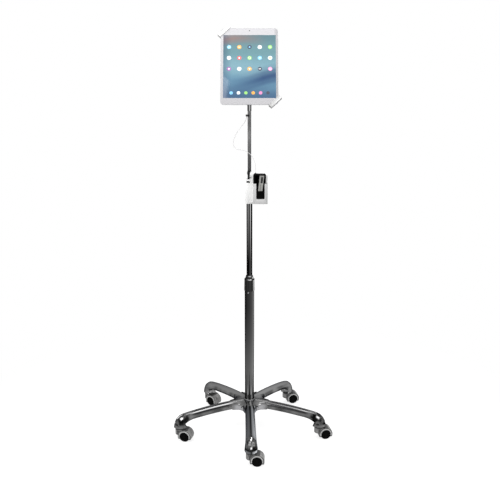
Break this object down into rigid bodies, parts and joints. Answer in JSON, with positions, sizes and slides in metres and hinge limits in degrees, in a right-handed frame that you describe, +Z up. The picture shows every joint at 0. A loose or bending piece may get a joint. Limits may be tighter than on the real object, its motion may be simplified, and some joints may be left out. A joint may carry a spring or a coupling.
{
  "type": "tablet floor stand",
  "caption": "Rolling floor stand that holds a tablet in corner jaws on a flexible neck, with a telescoping column, a star base on casters and a holster for a hand scanner",
  "frame": {"origin": "on the floor under the column's axis", "axes": "+Z up along the column, -Y the way the tablet faces, +X to the right of someone who looks at the screen"},
  "size_m": [0.5342, 0.4984, 1.3436],
  "materials": {
    "polished_metal": "polished",
    "tube_metal": "gloss",
    "collar_plastic": "satin",
    "steel": "satin",
    "inner_plastic": "satin",
    "hood_plastic": "satin",
    "wheel_rubber": "matt",
    "neck_black": "satin",
    "black_metal": "satin",
    "white_metal": "satin",
    "white_plastic": "gloss",
    "bezel_glass": "gloss",
    "black_plastic": "satin",
    "silver_plastic": "satin",
    "cord_rubber": "matt"
  },
  "bodies": {
    "base": {"star_base": "polished_metal", "foot_nut": "steel", "hub_bolt": "steel", "column_lower": "tube_metal", "lock_collet": "inner_plastic", "lock_screw": "steel"},
    "collar": {"lock_collar": "collar_plastic"},
    "caster_front": {"caster_hood_front": "hood_plastic"},
    "wheels_front": {"caster_wheels_front": "wheel_rubber"},
    "caster_front_left": {"caster_hood_front_left": "hood_plastic"},
    "wheels_front_left": {"caster_wheels_front_left": "wheel_rubber"},
    "caster_front_right": {"caster_hood_front_right": "hood_plastic"},
    "wheels_front_right": {"caster_wheels_front_right": "wheel_rubber"},
    "caster_back_left": {"caster_hood_back_left": "hood_plastic"},
    "wheels_back_left": {"caster_wheels_back_left": "wheel_rubber"},
    "caster_back_right": {"caster_hood_back_right": "hood_plastic"},
    "wheels_back_right": {"caster_wheels_back_right": "wheel_rubber"},
    "bush": {"guide_bush": "inner_plastic"},
    "column": {"column_upper": "tube_metal", "neck_socket": "black_metal", "holster_clamp": "white_metal", "clamp_screws": "steel", "holster": "white_metal", "tether_cord": "cord_rubber"},
    "neck_1": {"neck_link_1": "neck_black"},
    "neck_2": {"neck_link_2": "neck_black"},
    "neck_3": {"neck_link_3": "neck_black"},
    "neck_4": {"neck_link_4": "neck_black"},
    "neck_5": {"neck_link_5": "neck_black"},
    "neck_6": {"neck_link_6": "neck_black"},
    "neck_7": {"neck_link_7": "neck_black", "cord_clip": "black_plastic"},
    "head": {"head_stem": "black_metal"},
    "tilt_head": {"tilt_block": "black_metal", "tilt_pin": "steel"},
    "knob": {"tilt_knob": "black_plastic"},
    "holder": {"holder_bar": "black_metal", "swivel_bolt": "steel", "lower_jaw": "white_metal", "tablet_case": "white_plastic", "tablet_glass": "bezel_glass"},
    "jaw": {"upper_jaw": "white_metal"},
    "jaw_clamp": {"jaw_screw": "black_plastic"},
    "scanner": {"scanner_body": "black_plastic", "scanner_insert": "silver_plastic"},
    "button": {"scanner_button": "black_plastic"}
  },
  "joints": [
    {"name": "caster_swivel_front", "type": "hinge", "parent": "base", "child": "caster_front", "pos_m": [0.00558, -0.24594, 0.043], "axis": [0, 0, 1], "continuous": true},
    {"name": "wheel_spin_front", "type": "hinge", "parent": "caster_front", "child": "wheels_front", "pos_m": [0.02457, -0.2466, 0.018], "axis": [0.0349, 0.9994, 0], "continuous": true},
    {"name": "caster_swivel_front_left", "type": "hinge", "parent": "base", "child": "caster_front_left", "pos_m": [-0.23217, -0.08131, 0.043], "axis": [0, 0, 1], "continuous": true},
    {"name": "wheel_spin_front_left", "type": "hinge", "parent": "caster_front_left", "child": "wheels_front_left", "pos_m": [-0.21382, -0.08622, 0.018], "axis": [0.2588, 0.9659, 0], "continuous": true},
    {"name": "caster_swivel_front_right", "type": "hinge", "parent": "base", "child": "caster_front_right", "pos_m": [0.23562, -0.07069, 0.043], "axis": [0, 0, 1], "continuous": true},
    {"name": "wheel_spin_front_right", "type": "hinge", "parent": "caster_front_right", "child": "wheels_front_right", "pos_m": [0.25434, -0.06739, 0.018], "axis": [-0.1736, 0.9848, 0], "continuous": true},
    {"name": "caster_swivel_back_left", "type": "hinge", "parent": "base", "child": "caster_back_left", "pos_m": [-0.14907, 0.19569, 0.043], "axis": [0, 0, 1], "continuous": true},
    {"name": "wheel_spin_back_left", "type": "hinge", "parent": "caster_back_left", "child": "wheels_back_left", "pos_m": [-0.1337, 0.18452, 0.018], "axis": [0.5878, 0.809, 0], "continuous": true},
    {"name": "caster_swivel_back_right", "type": "hinge", "parent": "base", "child": "caster_back_right", "pos_m": [0.14004, 0.20225, 0.043], "axis": [0, 0, 1], "continuous": true},
    {"name": "wheel_spin_back_right", "type": "hinge", "parent": "caster_back_right", "child": "wheels_back_right", "pos_m": [0.15863, 0.2062, 0.018], "axis": [-0.2079, 0.9781, 0], "continuous": true},
    {"name": "collar_twist", "type": "hinge", "parent": "base", "child": "collar", "pos_m": [0, 0, 0.52], "axis": [0, 0, 1], "range_deg": [0, 90]},
    {"name": "column_slide", "type": "slide", "parent": "base", "child": "bush", "axis": [0, 0, 1], "range_m": [-0.23, 0.055]},
    {"name": "column_turn", "type": "hinge", "parent": "bush", "child": "column", "pos_m": [0, 0, 0.4], "axis": [0, 0, 1], "range_deg": [-180, 180]},
    {"name": "neck_forward_1", "type": "hinge", "parent": "column", "child": "neck_1", "pos_m": [0, 0, 0.897], "axis": [1, 0, 0], "range_deg": [-18.75, 18.75], "deforming": ["tether_cord"]},
    {"name": "neck_sideways_1", "type": "hinge", "parent": "neck_1", "child": "neck_2", "pos_m": [0, 0, 0.92386], "axis": [0, -1, 0], "range_deg": [-18.75, 18.75], "deforming": ["tether_cord"]},
    {"name": "neck_forward_2", "type": "hinge", "parent": "neck_2", "child": "neck_3", "pos_m": [0, 0, 0.95071], "axis": [1, 0, 0], "range_deg": [-18.75, 18.75], "deforming": ["tether_cord"]},
    {"name": "neck_sideways_2", "type": "hinge", "parent": "neck_3", "child": "neck_4", "pos_m": [0, 0, 0.97757], "axis": [0, -1, 0], "range_deg": [-18.75, 18.75], "deforming": ["tether_cord"]},
    {"name": "neck_forward_3", "type": "hinge", "parent": "neck_4", "child": "neck_5", "pos_m": [0, 0, 1.00443], "axis": [1, 0, 0], "range_deg": [-18.75, 18.75], "deforming": ["tether_cord"]},
    {"name": "neck_sideways_3", "type": "hinge", "parent": "neck_5", "child": "neck_6", "pos_m": [0, 0, 1.03129], "axis": [0, -1, 0], "range_deg": [-18.75, 18.75], "deforming": ["tether_cord"]},
    {"name": "neck_forward_4", "type": "hinge", "parent": "neck_6", "child": "neck_7", "pos_m": [0, 0, 1.05814], "axis": [1, 0, 0], "range_deg": [-18.75, 18.75], "deforming": ["tether_cord"]},
    {"name": "neck_sideways_4", "type": "hinge", "parent": "neck_7", "child": "head", "pos_m": [0, 0, 1.085], "axis": [0, -1, 0], "range_deg": [-18.75, 18.75]},
    {"name": "tilt", "type": "hinge", "parent": "head", "child": "tilt_head", "pos_m": [0, 0, 1.193], "axis": [1, 0, 0], "range_deg": [-62, 35]},
    {"name": "tilt_knob_turn", "type": "hinge", "parent": "tilt_head", "child": "knob", "pos_m": [0.014, 0, 1.193], "axis": [1, 0, 0], "range_deg": [0, 180]},
    {"name": "tablet_rotate", "type": "hinge", "parent": "tilt_head", "child": "holder", "pos_m": [0, 0, 1.193], "axis": [0, -0.8894, 0.4571], "continuous": true},
    {"name": "jaw_slide", "type": "slide", "parent": "holder", "child": "jaw", "axis": [-0.5706, 0.3754, 0.7304], "range_m": [0, 0.025]},
    {"name": "jaw_screw_turn", "type": "hinge", "parent": "holder", "child": "jaw_clamp", "pos_m": [-0.03537, -0.02048, 1.26078], "axis": [0, 0.8894, -0.4571], "range_deg": [0, 180]},
    {"name": "scanner_lift", "type": "slide", "parent": "column", "child": "scanner", "axis": [0, 0, 1], "range_m": [0, 0.07], "deforming": ["tether_cord"]},
    {"name": "scan_button_press", "type": "slide", "parent": "scanner", "child": "button", "axis": [0, 1, 0], "range_m": [0, 0.0012], "stiffness_N_per_m": 400}
  ]
}
